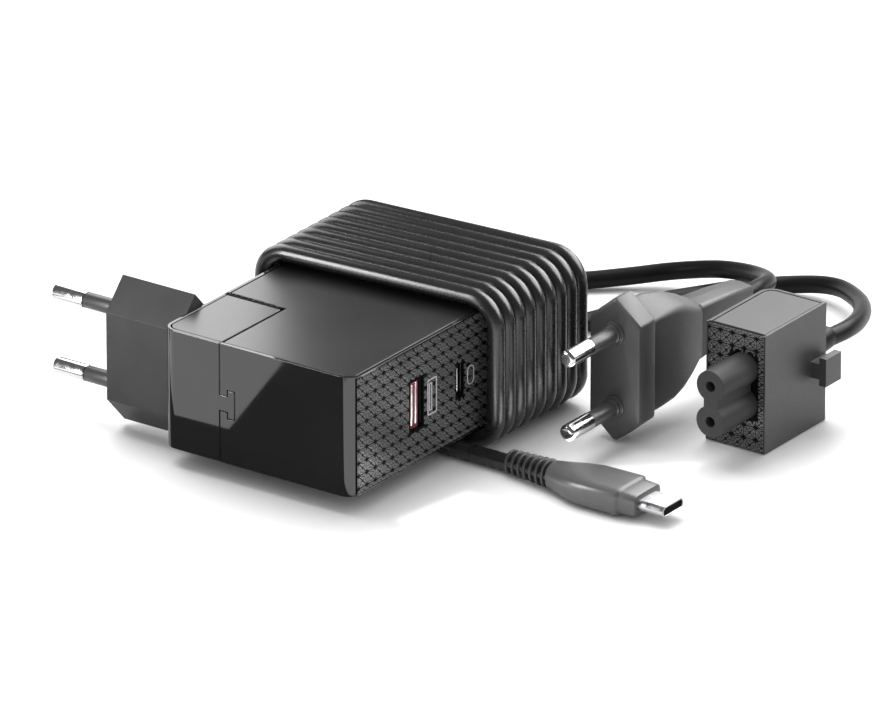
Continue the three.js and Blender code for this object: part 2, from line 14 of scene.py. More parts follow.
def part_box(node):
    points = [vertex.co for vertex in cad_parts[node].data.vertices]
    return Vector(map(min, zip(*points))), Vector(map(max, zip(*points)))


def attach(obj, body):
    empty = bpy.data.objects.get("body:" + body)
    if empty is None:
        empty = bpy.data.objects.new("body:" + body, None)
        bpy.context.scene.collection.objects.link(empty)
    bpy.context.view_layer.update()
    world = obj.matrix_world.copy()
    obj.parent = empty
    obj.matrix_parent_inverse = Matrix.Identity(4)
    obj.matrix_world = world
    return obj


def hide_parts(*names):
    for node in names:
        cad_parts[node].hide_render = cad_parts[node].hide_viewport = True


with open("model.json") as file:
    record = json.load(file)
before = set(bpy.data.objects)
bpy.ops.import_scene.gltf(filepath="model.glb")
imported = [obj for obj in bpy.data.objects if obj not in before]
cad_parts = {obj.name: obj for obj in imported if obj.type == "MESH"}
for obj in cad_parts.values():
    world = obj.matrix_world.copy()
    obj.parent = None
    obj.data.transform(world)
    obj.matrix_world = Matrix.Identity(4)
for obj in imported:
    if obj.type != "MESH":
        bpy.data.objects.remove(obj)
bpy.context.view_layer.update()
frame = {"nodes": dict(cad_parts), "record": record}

MM = 0.001
HOUSING_LOW, HOUSING_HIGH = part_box("housing")
ORIGIN = Vector((HOUSING_HIGH[0], HOUSING_LOW[1], 0.0))
UP = Vector((0, 0, 1))


def at(x, y, z):
    return ORIGIN + Vector((x, y, z)) * MM


def layout(point):
    return (Vector(point) - ORIGIN) / MM


def node_box(node):
    """A CAD node's lowest and highest corners in the layout's millimetres."""
    low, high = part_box(node)
    return layout(low), layout(high)


def middle_of(low, high):
    return (low + high) / 2


PORT_FRONT = node_box("port_panel")[1].x
BLOCK_BACK = node_box("block_shell")[1].y
PLUG_FRONT = node_box("lead_plug_grip")[0].y
PLUG_MIDDLE = middle_of(*node_box("lead_plug_grip"))


# ---- camera -------------------------------------------------------------------------------
AZIMUTH = math.radians(35.22)
ELEVATION = math.radians(23.01)
LOOK_AT = at(-6.17, 45.27, 21.24)
VIEW_WIDTH = 200.9 * MM
DISTANCE = 3.0  # far off, so that the perspective is weak
SENSOR = 36.0
FAR_CLIP = 50.0


def add_camera():
    forward = Vector((
        -math.sin(AZIMUTH) * math.cos(ELEVATION),
        math.cos(AZIMUTH) * math.cos(ELEVATION),
        -math.sin(ELEVATION),
    ))
    data = bpy.data.cameras.new("camera")
    data.sensor_width = SENSOR
    data.lens = SENSOR * DISTANCE / VIEW_WIDTH
    data.clip_end = FAR_CLIP
    camera = bpy.data.objects.new("camera", data)
    camera.location = LOOK_AT - forward * DISTANCE
    camera.rotation_mode = "QUATERNION"
    camera.rotation_quaternion = forward.to_track_quat("-Z", "Y")
    bpy.context.scene.collection.objects.link(camera)
    bpy.context.scene.camera = camera


# ---- materials ----------------------------------------------------------------------------
def new_material(name, color, roughness, metallic=0.0, specular=0.5):
    made = bpy.data.materials.new(name)
    made.use_nodes = True
    shader = made.node_tree.nodes["Principled BSDF"]
    shader.inputs["Base Color"].default_value = (*color, 1)
    shader.inputs["Roughness"].default_value = roughness
    shader.inputs["Metallic"].default_value = metallic
    shader.inputs["Specular IOR Level"].default_value = specular
    return made


def noise(made, scale, detail=3.0, stretch=(1, 1, 1)):
    """A noise texture on the object's own coordinates. scale counts per millimetre."""
    nodes, links = made.node_tree.nodes, made.node_tree.links
    place = nodes.new("ShaderNodeTexCoord")
    mapping = nodes.new("ShaderNodeMapping")
    mapping.inputs["Scale"].default_value = stretch
    texture = nodes.new("ShaderNodeTexNoise")
    texture.inputs["Scale"].default_value = scale / MM
    texture.inputs["Detail"].default_value = detail
    links.new(place.outputs["Object"], mapping.inputs["Vector"])
    links.new(mapping.outputs["Vector"], texture.inputs["Vector"])
    return texture.outputs["Fac"]


NOISE_LOW, NOISE_HIGH = 0.3, 0.7


def vary(made, value, socket, low, high):
    """Drives one of the shader's inputs between low and high by a noise value."""
    nodes, links = made.node_tree.nodes, made.node_tree.links
    ramp = nodes.new("ShaderNodeMapRange")
    ramp.inputs["From Min"].default_value = NOISE_LOW
    ramp.inputs["From Max"].default_value = NOISE_HIGH
    ramp.inputs["To Min"].default_value = low
    ramp.inputs["To Max"].default_value = high
    links.new(value, ramp.inputs["Value"])
    links.new(ramp.outputs["Result"], nodes["Principled BSDF"].inputs[socket])


def tint(made, value, dark, light):
    """Drives the colour between dark and light by a noise value."""
    nodes, links = made.node_tree.nodes, made.node_tree.links
    ramp = nodes.new("ShaderNodeValToRGB")
    ramp.color_ramp.elements[0].position = NOISE_LOW
    ramp.color_ramp.elements[1].position = NOISE_HIGH
    ramp.color_ramp.elements[0].color = (*dark, 1)
    ramp.color_ramp.elements[1].color = (*light, 1)
    links.new(value, ramp.inputs["Fac"])
    links.new(ramp.outputs["Color"], nodes["Principled BSDF"].inputs["Base Color"])


def grain(made, value, depth):
    """Raised grain. depth is in millimetres."""
    nodes, links = made.node_tree.nodes, made.node_tree.links
    bump = nodes.new("ShaderNodeBump")
    bump.inputs["Strength"].default_value = 1.0
    bump.inputs["Distance"].default_value = depth * MM
    links.new(value, bump.inputs["Height"])
    links.new(bump.outputs["Normal"], nodes["Principled BSDF"].inputs["Normal"])


def plastic(name, color, roughness, spread=0.08, grain_scale=3.0, depth=0.01, specular=0.5):
    """Moulded plastic: fine spark grain, slightly uneven gloss and colour."""
    made = new_material(name, color, roughness, specular=specular)
    broad = noise(made, 0.08, 2)
    tint(made, broad, [c * 0.85 for c in color], [c * 1.15 for c in color])
    fine = noise(made, grain_scale, 2)
    vary(made, fine, "Roughness", max(roughness - spread, 0.02), roughness + spread)
    grain(made, fine, depth)
    return made


def gloss(name, color, roughness):
    """Polished plastic with faint handling haze."""
    made = new_material(name, color, roughness)
    haze = noise(made, 0.05, 4)
    vary(made, haze, "Roughness", roughness * 0.6, roughness * 1.6)
    tint(made, haze, [c * 0.9 for c in color], [c * 1.1 for c in color])
    return made


def metal(name, color, roughness, stretch=(1, 1, 1)):
    """Bare or plated metal, its gloss and colour slightly uneven. stretch draws the noise out."""
    made = new_material(name, color, roughness, metallic=1.0)
    fine = noise(made, 0.6, 4, stretch)
    vary(made, fine, "Roughness", roughness * 0.6, roughness * 1.5)
    tint(made, fine, [c * 0.93 for c in color], color)
    return made


def grey(level):
    """A neutral grey, a touch cooler than equal parts."""
    return (level, level, level * 1.02)


LOOKS = {
    "gloss_shell": gloss("gloss_shell", grey(0.014), 0.05),
    "matte_panel": plastic("matte_panel", grey(0.018), 0.32, 0.03, 4.0, 0.003),
    "patterned_panel": plastic("patterned_panel", grey(0.15), 0.3, 0.06, 3.0, 0.004),
    "port_steel": metal("port_steel", grey(0.7), 0.2),
    "red_plastic": plastic("red_plastic", (0.15, 0.008, 0.022), 0.3, 0.05, specular=0.3),
    "black_plastic": plastic("black_plastic", grey(0.01), 0.5),
    "board_green": plastic("board_green", (0.015, 0.1, 0.03), 0.5, 0.1, 1.0),
    "ferrite": plastic("ferrite", grey(0.05), 0.75, 0.1, 2.0, 0.02),
    "copper": metal("copper", (0.62, 0.26, 0.1), 0.35, (1, 1, 12)),
    "capacitor_sleeve": plastic("capacitor_sleeve", (0.02, 0.03, 0.09), 0.3),
    "heatsink_metal": metal("heatsink_metal", grey(0.62), 0.4, (1, 1, 10)),
    "brass": metal("brass", (0.66, 0.48, 0.18), 0.3),
    "cable_rubber": plastic("cable_rubber", grey(0.014), 0.28, 0.02, 0.4, 0.002, 0.5),
    "plug_plastic": plastic("plug_plastic", grey(0.042), 0.48, 0.06, 3.0, 0.012, 0.5),
    "pin_metal": metal("pin_metal", grey(0.6), 0.14),
    "sleeve_plastic": plastic("sleeve_plastic", grey(0.045), 0.38, 0.05),
}
GLYPH = plastic("printed_mark", grey(0.62), 0.6, 0.05)
# Near black for the groove floors, as painted shade in the grooves, and for the USB plug's insert,
# as its black plastic and painted shade in its mouth.
BLACK_AND_PAINTED_SHADE = plastic("black_and_painted_shade", grey(0.003), 0.7, 0.05, specular=0.05)
# The port shells' steel darkened to near black: painted shade inside the ports.
PORT_SHELL_PAINTED_SHADE = metal("port_throat_painted_shade", grey(0.06), 0.35)
MAINS_RUBBER = plastic("mains_rubber", grey(0.009), 0.36, 0.03, 1.0, 0.001, 0.08)
CONNECTOR = plastic("connector_matt", grey(0.042), 0.5, 0.05, 3.0, 0.008, 0.1)
USB_GRIP = plastic("usb_plug_satin", grey(0.086), 0.34, 0.05, 3.0, 0.006)
USB_SHELL = metal("usb_shell_satin", grey(0.42), 0.36)
MODULE_BOSS = plastic("module_boss_matt", grey(0.044), 0.5, 0.06, 3.0, 0.012, 0.22)
# The plug plastic made darker for the lead plug's handle: painted shade on the grip.
HANDLE_PAINTED_SHADE = plastic("plug_handle_painted_shade", grey(0.03), 0.5, 0.06, 3.0, 0.012)
BLOCK_SIDE = plastic("block_shell_satin", grey(0.033), 0.45, 0.06, 3.0, 0.008)


def dress_cad_nodes():
    """Every CAD node gets its slot's material."""
    for row in frame["record"]["subparts"]:
        data = frame["nodes"][row["node"]].data
        data.materials.clear()
        data.materials.append(LOOKS[row["material_slot"]])


# ---- mesh tools ---------------------------------------------------------------------------
def place(name, mesh, look, body, slot, replaces=(), sharp=35):
    """Makes an object of a mesh that is already where it belongs."""
    mesh.materials.clear()
    mesh.materials.append(look)
    mesh.polygons.foreach_set("use_smooth", [True] * len(mesh.polygons))
    mesh.set_sharp_from_angle(angle=math.radians(sharp))
    piece = bpy.data.objects.new(name, mesh)
    bpy.context.scene.collection.objects.link(piece)
    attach(piece, body)
    if replaces:
        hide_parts(*replaces)
    return piece


def to_mesh(name, bm):
    """Turns a bmesh into a mesh with its faces outwards, and frees it."""
    bmesh.ops.recalc_face_normals(bm, faces=bm.faces)
    mesh = bpy.data.meshes.new(name)
    bm.to_mesh(mesh)
    bm.free()
    return mesh


def loft(rings, caps=True, into=None):
    """A skin through rings of equally many points, closed at both ends unless caps is off."""
    bm = into or bmesh.new()
    rows = [[bm.verts.new(p) for p in ring] for ring in rings]
    count = len(rows[0])
    for low, high in zip(rows, rows[1:]):
        for i in range(count):
            j = (i + 1) % count
            bm.faces.new((low[i], low[j], high[j], high[i]))
    if caps:
        bm.faces.new(rows[0])
        bm.faces.new(rows[-1])
    return bm


def lathe(profile, start, direction, segments=40):
    """A turned body. profile is (distance along direction, radius) in millimetres."""
    along = Vector(direction).normalized()
    side = along.orthogonal().normalized()
    across = along.cross(side)
    rings = []
    for distance, radius in profile:
        middle = start + along * distance * MM
        turn = [2 * math.pi * i / segments for i in range(segments)]
        rings.append([
            middle + (side * math.cos(a) + across * math.sin(a)) * max(radius, 0.01) * MM
            for a in turn
        ])
    return loft(rings)


def rounded(corners, radius, steps=5):
    """A closed outline with its corners rounded. corners are 2-D points, radius one or one each."""
    count = len(corners)
    radii = radius if isinstance(radius, (list, tuple)) else [radius] * count
    outline = []
    for i, (corner, r) in enumerate(zip(corners, radii)):
        corner = Vector(corner)
        to_last = (Vector(corners[i - 1]) - corner).normalized()
        to_next = (Vector(corners[(i + 1) % count]) - corner).normalized()
        half = to_last.angle(to_next) / 2
        back = r / math.tan(half)
        middle = corner + (to_last + to_next).normalized() * r / math.sin(half)
        first = corner + to_last * back - middle
        last = corner + to_next * back - middle
        sweep = first.angle_signed(last)
        for step in range(steps + 1):
            angle = -sweep * step / steps
            turned = Vector((
                first.x * math.cos(angle) - first.y * math.sin(angle),
                first.x * math.sin(angle) + first.y * math.cos(angle),
            ))
            outline.append(middle + turned)
    return outline


def refined(node, body, width=0.2, segments=2, angle=40, look=None):
    """The CAD node's shape with its flats merged and its edges sharper than angle rounded off."""
    slot = next(r["material_slot"] for r in frame["record"]["subparts"] if r["node"] == node)
    bm = bmesh.new()
    bm.from_mesh(frame["nodes"][node].data)
    bmesh.ops.remove_doubles(bm, verts=bm.verts, dist=0.002 * MM)
    bmesh.ops.dissolve_limit(
        bm, angle_limit=math.radians(1), verts=bm.verts, edges=bm.edges, delimit=set()
    )
    sharp = [e for e in bm.edges if e.calc_face_angle(0) > math.radians(angle)]
    bmesh.ops.bevel(
        bm, geom=sharp, offset=width * MM, segments=segments, profile=0.5, affect="EDGES",
        clamp_overlap=True,
    )
    bmesh.ops.remove_doubles(bm, verts=bm.verts, dist=0.001 * MM)
    mesh = to_mesh(node, bm)
    piece = place(node + "_fine", mesh, look or LOOKS[slot], body, slot, [node])
    level = piece.modifiers.new("level_faces", "WEIGHTED_NORMAL")
    level.weight = 100
    level.keep_sharp = True


# ---- cords --------------------------------------------------------------------------------
def curve_through(points, spacing=1.2):
    """Evenly spaced points on a smooth curve through the given ones."""
    points = [Vector(p) for p in points]
    ends = [points[0] * 2 - points[1], *points, points[-1] * 2 - points[-2]]
    out = []
    for a, b, c, d in zip(ends, ends[1:], ends[2:], ends[3:]):
        steps = max(2, round((c - b).length / spacing))
        for i in range(steps):
            t = i / steps
            out.append(0.5 * (
                2 * b + (c - a) * t + (2 * a - 5 * b + 4 * c - d) * t ** 2
                + (3 * b - a - 3 * c + d) * t ** 3
            ))
    out.append(points[-1])
    return out


def cord_curve(name, points, diameter, body, look, replaces):
    """A round cord along the layout's points, as one open curve."""
    data = bpy.data.curves.new(name, "CURVE")
    data.dimensions = "3D"
    data.bevel_depth = diameter / 2 * MM
    data.bevel_resolution = 7
    data.use_fill_caps = True
    spline = data.splines.new("POLY")
    spline.points.add(len(points) - 1)
    for knot, p in zip(spline.points, points):
        knot.co = (*at(*p), 1)
    spline.use_smooth = True
    data.materials.append(look)
    piece = bpy.data.objects.new(name, data)
    bpy.context.scene.collection.objects.link(piece)
    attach(piece, body)
    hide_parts(*replaces)
    return piece


CABLE_D = 4.0
CORD_D = 4.2
TURNS = 9
PITCH = 4.05
FIRST_TURN_Y = 48.2
# A turn's limits on the cord's middle line, and how far it shifts towards the ports on each side.
LOOP = {"left": -56.7, "left_low": -57.8, "right": 5.1, "low": 2.0, "high": 36.35, "corner": 6.6}
DRIFT = {"up": 0.2, "over": 3.4, "down": 0.15, "under": 0.3}
SIDE_POINTS = 12
CORNER_POINTS = 10
CORNER_STEP = 90 / CORNER_POINTS

USB_START = [
    (-45.6, 89.3, 18.7),
    (-50, 88.9, 18.4),
    (-54.2, 87.8, 16.3),
    (-56.9, 86.2, 12.4),
    (-55.9, 84.3, 7.2),
    (-52.6, 82.6, 3.6),
    (-47, 81.5, 2.1),
]
USB_UNDER = [(-25, 81, 2), (-4, 80.8, 2.0)]
USB_TAIL = [
    (-44, 44.2, 2), (-30, 43, 2), (-12, 41.4, 2), (0, 40.8, 2), (8, 41, 2), (15, 40.8, 2.1),
]
BLOCK_SIDE_ROUTE = [
    (50.8, 113.2, 16.45),
    (50.6, 121.2, 15.8),
    (48.1, 129.6, 14.4),
    (43.2, 139, 12.3),
    (36.2, 148.6, 9.6),
    (27.5, 157.4, 6.8),
    (21.5, 161.8, 5.2),
    (15.5, 163.8, 3.8),
    (9.5, 163, 2.7),
    (4, 159.6, 2.2),
    (-1, 154.4, 2.1),
    (-5.3, 148, 2.1),
    (-11.5, 137.5, 2.1),
    (-15, 128, 2.1),
    (-18.5, 118, 2.1),
    (-22.5, 109, 2.1),
    (-28, 101, 2.1),
    (-35, 95.5, 2.1),
    (-44.5, 91.4, 2.1),
]
PLUG_SIDE_ROUTE = [
    (23.4, 117.5, 17.6),
    (23.2, 121.5, 17.6),
    (22.6, 127, 17.2),
    (19.5, 135.5, 15.1),
    (12.5, 143, 12.2),
    (3.5, 148.5, 9.4),
    (-6, 151.5, 6.7),
    (-16.5, 150, 4.2),
    (-25, 144, 2.9),
    (-33.5, 137, 2.2),
    (-37.5, 135.3, 3),
    (-42, 134.2, 4.7),
    (-48.5, 134.3, 6.2),
]
# The put-away coil: its middle, the radii of its two rings, the heights of its two layers, and the
# angles in degrees at which it starts, changes ring or layer, and ends.
COIL = {"x": -58, "y": 112.5, "wide": 23.1, "narrow": 18.9, "low": 2.1, "high": 6.3}
COIL_START = -80
COIL_INWARD = (380, 440)
COIL_CLIMB = (680, 740)
COIL_OUTWARD = (1040, 1100)
COIL_END = -1360
COIL_STEP = 10


def turn_path(n):
    """One turn round the body: up the right side, over the top, down the left and back under."""
    r = LOOP["corner"]
    left, left_low, right = LOOP["left"], LOOP["left_low"], LOOP["right"]
    low, high = LOOP["low"], LOOP["high"]
    y = FIRST_TURN_Y + n * PITCH
    sides = [
        ("up", (right, low + r), (right, high - r), (right - r, high - r), 0),
        ("over", (right - r, high), (left + r, high), (left + r, high - r), 90),
        ("down", (left, high - r), (left_low, low + r), (left_low + r, low + r), 180),
        ("under", (left_low + r, low), (right - r, low), (right - r, low + r), 270),
    ]
    path = []
    for name, (x0, z0), (x1, z1), (cx, cz), angle in sides:
        for i in range(SIDE_POINTS):
            t = i / SIDE_POINTS
            path.append((x0 + (x1 - x0) * t, y - DRIFT[name] * t, z0 + (z1 - z0) * t))
        y -= DRIFT[name]
        path += corner_points(cx, cz, angle, y)
    return path


def corner_points(cx, cz, angle, y):
    """A quarter turn round a corner's centre from an angle on, less its last point."""
    r = LOOP["corner"]
    turn = [math.radians(angle + CORNER_STEP * i) for i in range(CORNER_POINTS)]
    return [(cx + r * math.cos(a), y, cz + r * math.sin(a)) for a in turn]


def usb_cable_path():
    """From the boot under the body, round it from the back to the ports, and out to the plug."""
    r = LOOP["corner"]
    corner_x = LOOP["right"] - r
    lead_in = curve_through([*USB_START, *USB_UNDER], 1.5)
    corner_y = FIRST_TURN_Y + (TURNS - 1) * PITCH + DRIFT["up"]
    corner = corner_points(corner_x, LOOP["low"] + r, -90, corner_y)
    turns = []
    for n in reversed(range(TURNS)):
        turns += turn_path(n)
    # The last turn leaves the body near the end of its lower left corner.
    turns = turns[: -(SIDE_POINTS + CORNER_POINTS + 1)]
    tail = curve_through([turns[-1], *USB_TAIL], 1.5)
    return [*lead_in, *corner, *turns, *tail[1:]]


def ease(value, start, end):
    """0 before start, 1 after end and smooth between them."""
    t = min(max((value - start) / (end - start), 0), 1)
    return t * t * (3 - 2 * t)


def coil_path():
    """Round the coil: outer ring to inner below, then inner to outer above."""
    path = []
    for angle in range(COIL_START, COIL_END - 1, -COIL_STEP):
        inward = ease(-angle, *COIL_INWARD) - ease(-angle, *COIL_OUTWARD)
        radius = COIL["wide"] + (COIL["narrow"] - COIL["wide"]) * inward
        z = COIL["low"] + (COIL["high"] - COIL["low"]) * ease(-angle, *COIL_CLIMB)
        a = math.radians(angle)
        path.append((COIL["x"] + radius * math.cos(a), COIL["y"] + radius * math.sin(a), z))
    return path


def add_cords():
    """The two cords, each one curve from end to end."""
    usb_points = usb_cable_path()
    usb = cord_curve(
        "usb_cable", usb_points, CABLE_D, "charger", LOOKS["cable_rubber"],
        ["usb_cable_winding", "usb_cable_start", "usb_cable_tail"],
    )
    mains_points = curve_through([*BLOCK_SIDE_ROUTE, *coil_path(), *reversed(PLUG_SIDE_ROUTE)])
    mains = cord_curve(
        "mains_cord", mains_points, CORD_D, "mains_lead", MAINS_RUBBER,
        ["mains_cord_block_side", "mains_cord_coil", "mains_cord_plug_side"],
    )
    return usb, usb_points, mains, mains_points


# ---- shapes shared by the module and the block --------------------------------------------
PIN_R = 2.0
PIN_CORE_R = 1.3
PIN_LENGTH = 19.0
PIN_EASE = 0.9
PIN_HALF_PITCH = 9
SLEEVE_LENGTH = 10.2


def add_pins(prefix, face, direction, body):
    """Two chromed pins with black sleeves. face is the point on the plug's face between them."""
    quarter = [math.radians(15 * i) for i in range(7)]
    tip = [(PIN_LENGTH - PIN_EASE * (1 - math.sin(a)), PIN_R - PIN_EASE * (1 - math.cos(a)))
           for a in quarter]
    pin = [(-4, PIN_CORE_R), (SLEEVE_LENGTH, PIN_CORE_R), (SLEEVE_LENGTH, PIN_R - 0.12),
           (SLEEVE_LENGTH + 0.12, PIN_R), *tip]
    sleeve = [(-0.2, 1.32), (-0.2, 2.7), (0.35, 2.7), (0.5, 2.55), (0.5, 2.25), (0.62, 2.14),
              (1.3, 2.14), (1.42, 2.02), (1.55, 1.9), (SLEEVE_LENGTH - 0.25, 1.88),
              (SLEEVE_LENGTH - 0.12, 1.82), (SLEEVE_LENGTH - 0.08, 1.32)]
    for label, up in (("upper", 1), ("lower", -1)):
        root = at(*(Vector(face) + UP * PIN_HALF_PITCH * up))
        parts = (("pin", pin, "pin_metal"), ("sleeve", sleeve, "sleeve_plastic"))
        for kind, profile, slot in parts:
            node = f"{prefix}_{kind}_{label}"
            mesh = to_mesh(node, lathe(profile, root, direction, 48))
            place(node + "_fine", mesh, LOOKS[slot], body, slot, [node])


# ---- the lattice relief -------------------------------------------------------------------
# A cell of the lattice is a rectangle cut into eight pairs of facets by its edges, its diagonals
# and the fine lines to each triangle's heart. A groove's size is the inset from a facet's edge.
CELL_ACROSS = 3.25
CELL_UP = 3.09
LATTICE_Y = 5.47
LATTICE_Z = 24.5
WIDE_GROOVE = 0.15
THIN_GROOVE = 0.13
FINE_GROOVE = 0.08
RELIEF = 0.16
CREST = 0.07
SUNK = RELIEF + 0.03
PORT_MARGIN = 0.25
CONNECTOR_MARGIN = 0.2
SMALLEST_FACET = 0.015


def clip(polygon, axis, limit, keep_above):
    """The part of a flat polygon on one side of a line along an axis."""
    inside = (lambda p: p[axis] >= limit) if keep_above else (lambda p: p[axis] <= limit)
    out = []
    for a, b in zip(polygon, polygon[1:] + polygon[:1]):
        if inside(a):
            out.append(a)
        if inside(a) != inside(b):
            t = (limit - a[axis]) / (b[axis] - a[axis])
            out.append(a.lerp(b, t))
    return out


def shrink(polygon, insets):
    """A convex polygon with each edge moved inwards by its own inset, or None if none is left."""
    count = len(polygon)
    lines = []
    for i, inset in enumerate(insets):
        a, b = polygon[i], polygon[(i + 1) % count]
        inward = Vector((a.y - b.y, b.x - a.x)).normalized() * inset
        lines.append((a + inward, b + inward))
    out = []
    for (a, b), (c, d) in zip([lines[-1]] + lines[:-1], lines):
        cross = (b - a).cross(d - c)
        if abs(cross) < 1e-9:
            return None
        t = (c - a).cross(d - c) / cross
        out.append(a + (b - a) * t)
    area = sum(p.cross(q) for p, q in zip(out, out[1:] + out[:1])) / 2
    return out if area > SMALLEST_FACET else None


# The insets at a side's own edge and at the two diagonals meeting it, for level and upright sides.
GROOVES = (
    (WIDE_GROOVE, THIN_GROOVE, WIDE_GROOVE),
    (THIN_GROOVE, WIDE_GROOVE, THIN_GROOVE),
)


def facets(low, high):
    """The lattice's facets between two corners: each one's outline, edge insets and peak."""
    first_y = math.floor((low.x - LATTICE_Y) / CELL_ACROSS)
    last_y = math.ceil((high.x - LATTICE_Y) / CELL_ACROSS)
    first_z = math.floor((low.y - LATTICE_Z) / CELL_UP)
    last_z = math.ceil((high.y - LATTICE_Z) / CELL_UP)
    for i in range(first_y, last_y):
        for k in range(first_z, last_z):
            y0 = LATTICE_Y + i * CELL_ACROSS
            z0 = LATTICE_Z + k * CELL_UP
            corners = [Vector((y0, z0)), Vector((y0 + CELL_ACROSS, z0)),
                       Vector((y0 + CELL_ACROSS, z0 + CELL_UP)), Vector((y0, z0 + CELL_UP))]
            middle = sum(corners, Vector((0, 0))) / 4
            for side in range(4):
                a, b = corners[side], corners[(side + 1) % 4]
                edge, a_groove, b_groove = GROOVES[side % 2]
                heart = (a + b + middle) / 3
                triangle = [(a, b, edge), (b, middle, b_groove), (middle, a, a_groove)]
                for start, end, groove in triangle:
                    half = (start + end) / 2
                    insets = [groove, FINE_GROOVE, FINE_GROOVE]
                    yield [start, half, heart], insets, heart
                    yield [half, end, heart], insets, heart


def relief_bmesh(low, high, keep_out, to_frame):
    """Facets as small raised wedges. to_frame(y, z, height) gives a point of the frame."""
    bm = bmesh.new()
    limits = [(0, low.x, True), (0, high.x, False), (1, low.y, True), (1, high.y, False)]
    for outline, insets, heart in facets(low, high):
        centre = sum(outline, Vector((0, 0))) / 3
        if any(a.x < centre.x < b.x and a.y < centre.y < b.y for a, b in keep_out):
            continue
        clipped = outline
        for axis, limit, above in limits:
            clipped = clip(clipped, axis, limit, above) if clipped else clipped
        if len(clipped) < 3:
            continue
        if clipped != outline:
            insets = [FINE_GROOVE] * len(clipped)
        top = shrink(clipped, insets)
        if not top:
            continue
        longest = max((p - heart).length for p in outline)
        lower = [bm.verts.new(to_frame(p.x, p.y, 0)) for p in top]
        upper = []
        for p in top:
            rise = RELIEF - CREST * min((p - heart).length / longest, 1)
            upper.append(bm.verts.new(to_frame(p.x, p.y, rise)))
        bm.faces.new(upper)
        for i in range(len(top)):
            j = (i + 1) % len(top)
            bm.faces.new((lower[i], lower[j], upper[j], upper[i]))
        bm.faces.new(list(reversed(lower)))
    return bm


def patterned_plate(node, body, sunk, to_frame, low, high, keep_out, name):
    """The CAD plate sunk a little, as the floor of the grooves, painted near black as shade in
    them, and the relief on it.
    """
    mesh = frame["nodes"][node].data.copy()
    mesh.transform(Matrix.Translation(Vector(sunk) * MM))
    place(f"{name}_groove_floor", mesh, BLACK_AND_PAINTED_SHADE, body, "patterned_panel", [node])
    bm = relief_bmesh(low, high, keep_out, to_frame)
    mesh = bpy.data.meshes.new(name)
    bm.to_mesh(mesh)
    bm.free()
    place(f"{name}_relief", mesh, LOOKS["patterned_panel"], body, "patterned_panel", sharp=8)


def add_port_plate():
    low, high = node_box("port_panel")
    ports = []
    for node in ("usb_a_shell", "usb_c_shell"):
        a, b = node_box(node)
        ports.append((
            Vector((a.y - PORT_MARGIN, a.z - PORT_MARGIN)),
            Vector((b.y + PORT_MARGIN, b.z + PORT_MARGIN)),
        ))
    patterned_plate(
        "port_panel", "charger", (-SUNK, 0, 0),
        lambda y, z, height: at(PORT_FRONT - SUNK + height, y, z),
        Vector((low.y, low.z)), Vector((high.y, high.z)), ports, "port_plate",
    )


def add_connector_plate(owner, body, facing):
    """The plate round the module's or the block's connector, facing 1 for +y or -1 for -y."""
    low, high = node_box(f"{owner}_patterned_plate")
    face = low.y if facing < 0 else high.y
    shift = LATTICE_Y - low.x

    def on_lattice(x, z):
        return Vector((x + shift, z))

    a, b = node_box(f"{owner}_connector")
    hole = (
        on_lattice(a.x - CONNECTOR_MARGIN, a.z - CONNECTOR_MARGIN),
        on_lattice(b.x + CONNECTOR_MARGIN, b.z + CONNECTOR_MARGIN),
    )
    patterned_plate(
        f"{owner}_patterned_plate", body, (0, -facing * SUNK, 0),
        lambda x, z, height: at(x - shift, face - facing * (SUNK - height), z),
        on_lattice(low.x, low.z), on_lattice(high.x, high.z), [hole], f"{owner}_plate",
    )


def add_patterns():
    add_port_plate()
    add_connector_plate("block", "mains_lead", -1)
    add_connector_plate("module", "plug_module", 1)


# ---- charger ------------------------------------------------------------------------------
def add_charger_shell():
    refined("housing", "charger", 0.3, 3, 50)
    refined("top_panel", "charger", 0.15, 2)
    refined("bottom_panel", "charger", 0.15, 2)
    # The port shells take the darkened steel: painted shade in the ports' throats.
    for node in ("usb_a_shell", "usb_c_shell"):
        refined(node, "charger", 0.08, 1, look=PORT_SHELL_PAINTED_SHADE)
    add_port_insides()
    refined("usb_c_tongue", "charger", 0.12, 2)
    refined("inlet_socket", "charger", 0.2, 2)


def add_port_insides():
    """The wide port's red tongue with its two contact edges, and the small port's contact edge."""
    low, high = node_box("usb_a_tongue")
    add_bar("usb_a_tongue_fine", (low.x, PORT_FRONT - 0.4), (low.y, low.y + 2.9), (low.z, high.z),
            "red_plastic", ["usb_a_tongue"])
    edges = (("outer", 0.2, 0.5, 0.5), ("inner", 1.75, 0.42, 0.2))
    for label, inset, width, top in edges:
        y = low.y + inset
        add_bar(f"usb_a_contact_{label}", (PORT_FRONT - 1.5, PORT_FRONT - 0.25), (y, y + width),
                (low.z + 0.9, high.z - top), "port_steel")
    low, high = node_box("usb_c_tongue")
    add_bar("usb_c_contact", (PORT_FRONT - 1.5, PORT_FRONT - 0.15), (low.y - 0.78, low.y - 0.5),
            (low.z + 0.9, high.z - 0.1), "port_steel")


def add_bar(name, x, y, z, slot, replaces=()):
    """A bar between two limits along each axis, with its front edges eased."""
    rings = []
    for depth, tuck in ((x[0], 0.03), (x[1] - 0.05, 0.0), (x[1], 0.04)):
        corners = [(y[1] - tuck, z[1] - tuck), (y[0] + tuck, z[1] - tuck),
                   (y[0] + tuck, z[0] + tuck), (y[1] - tuck, z[0] + tuck)]
        rings.append([at(depth, p.x, p.y) for p in rounded(corners, 0.04, 2)])
    place(name, to_mesh(name, loft(rings)), LOOKS[slot], "charger", slot, replaces)


MARK_BELOW = 0.12
MARK_ABOVE = 0.01


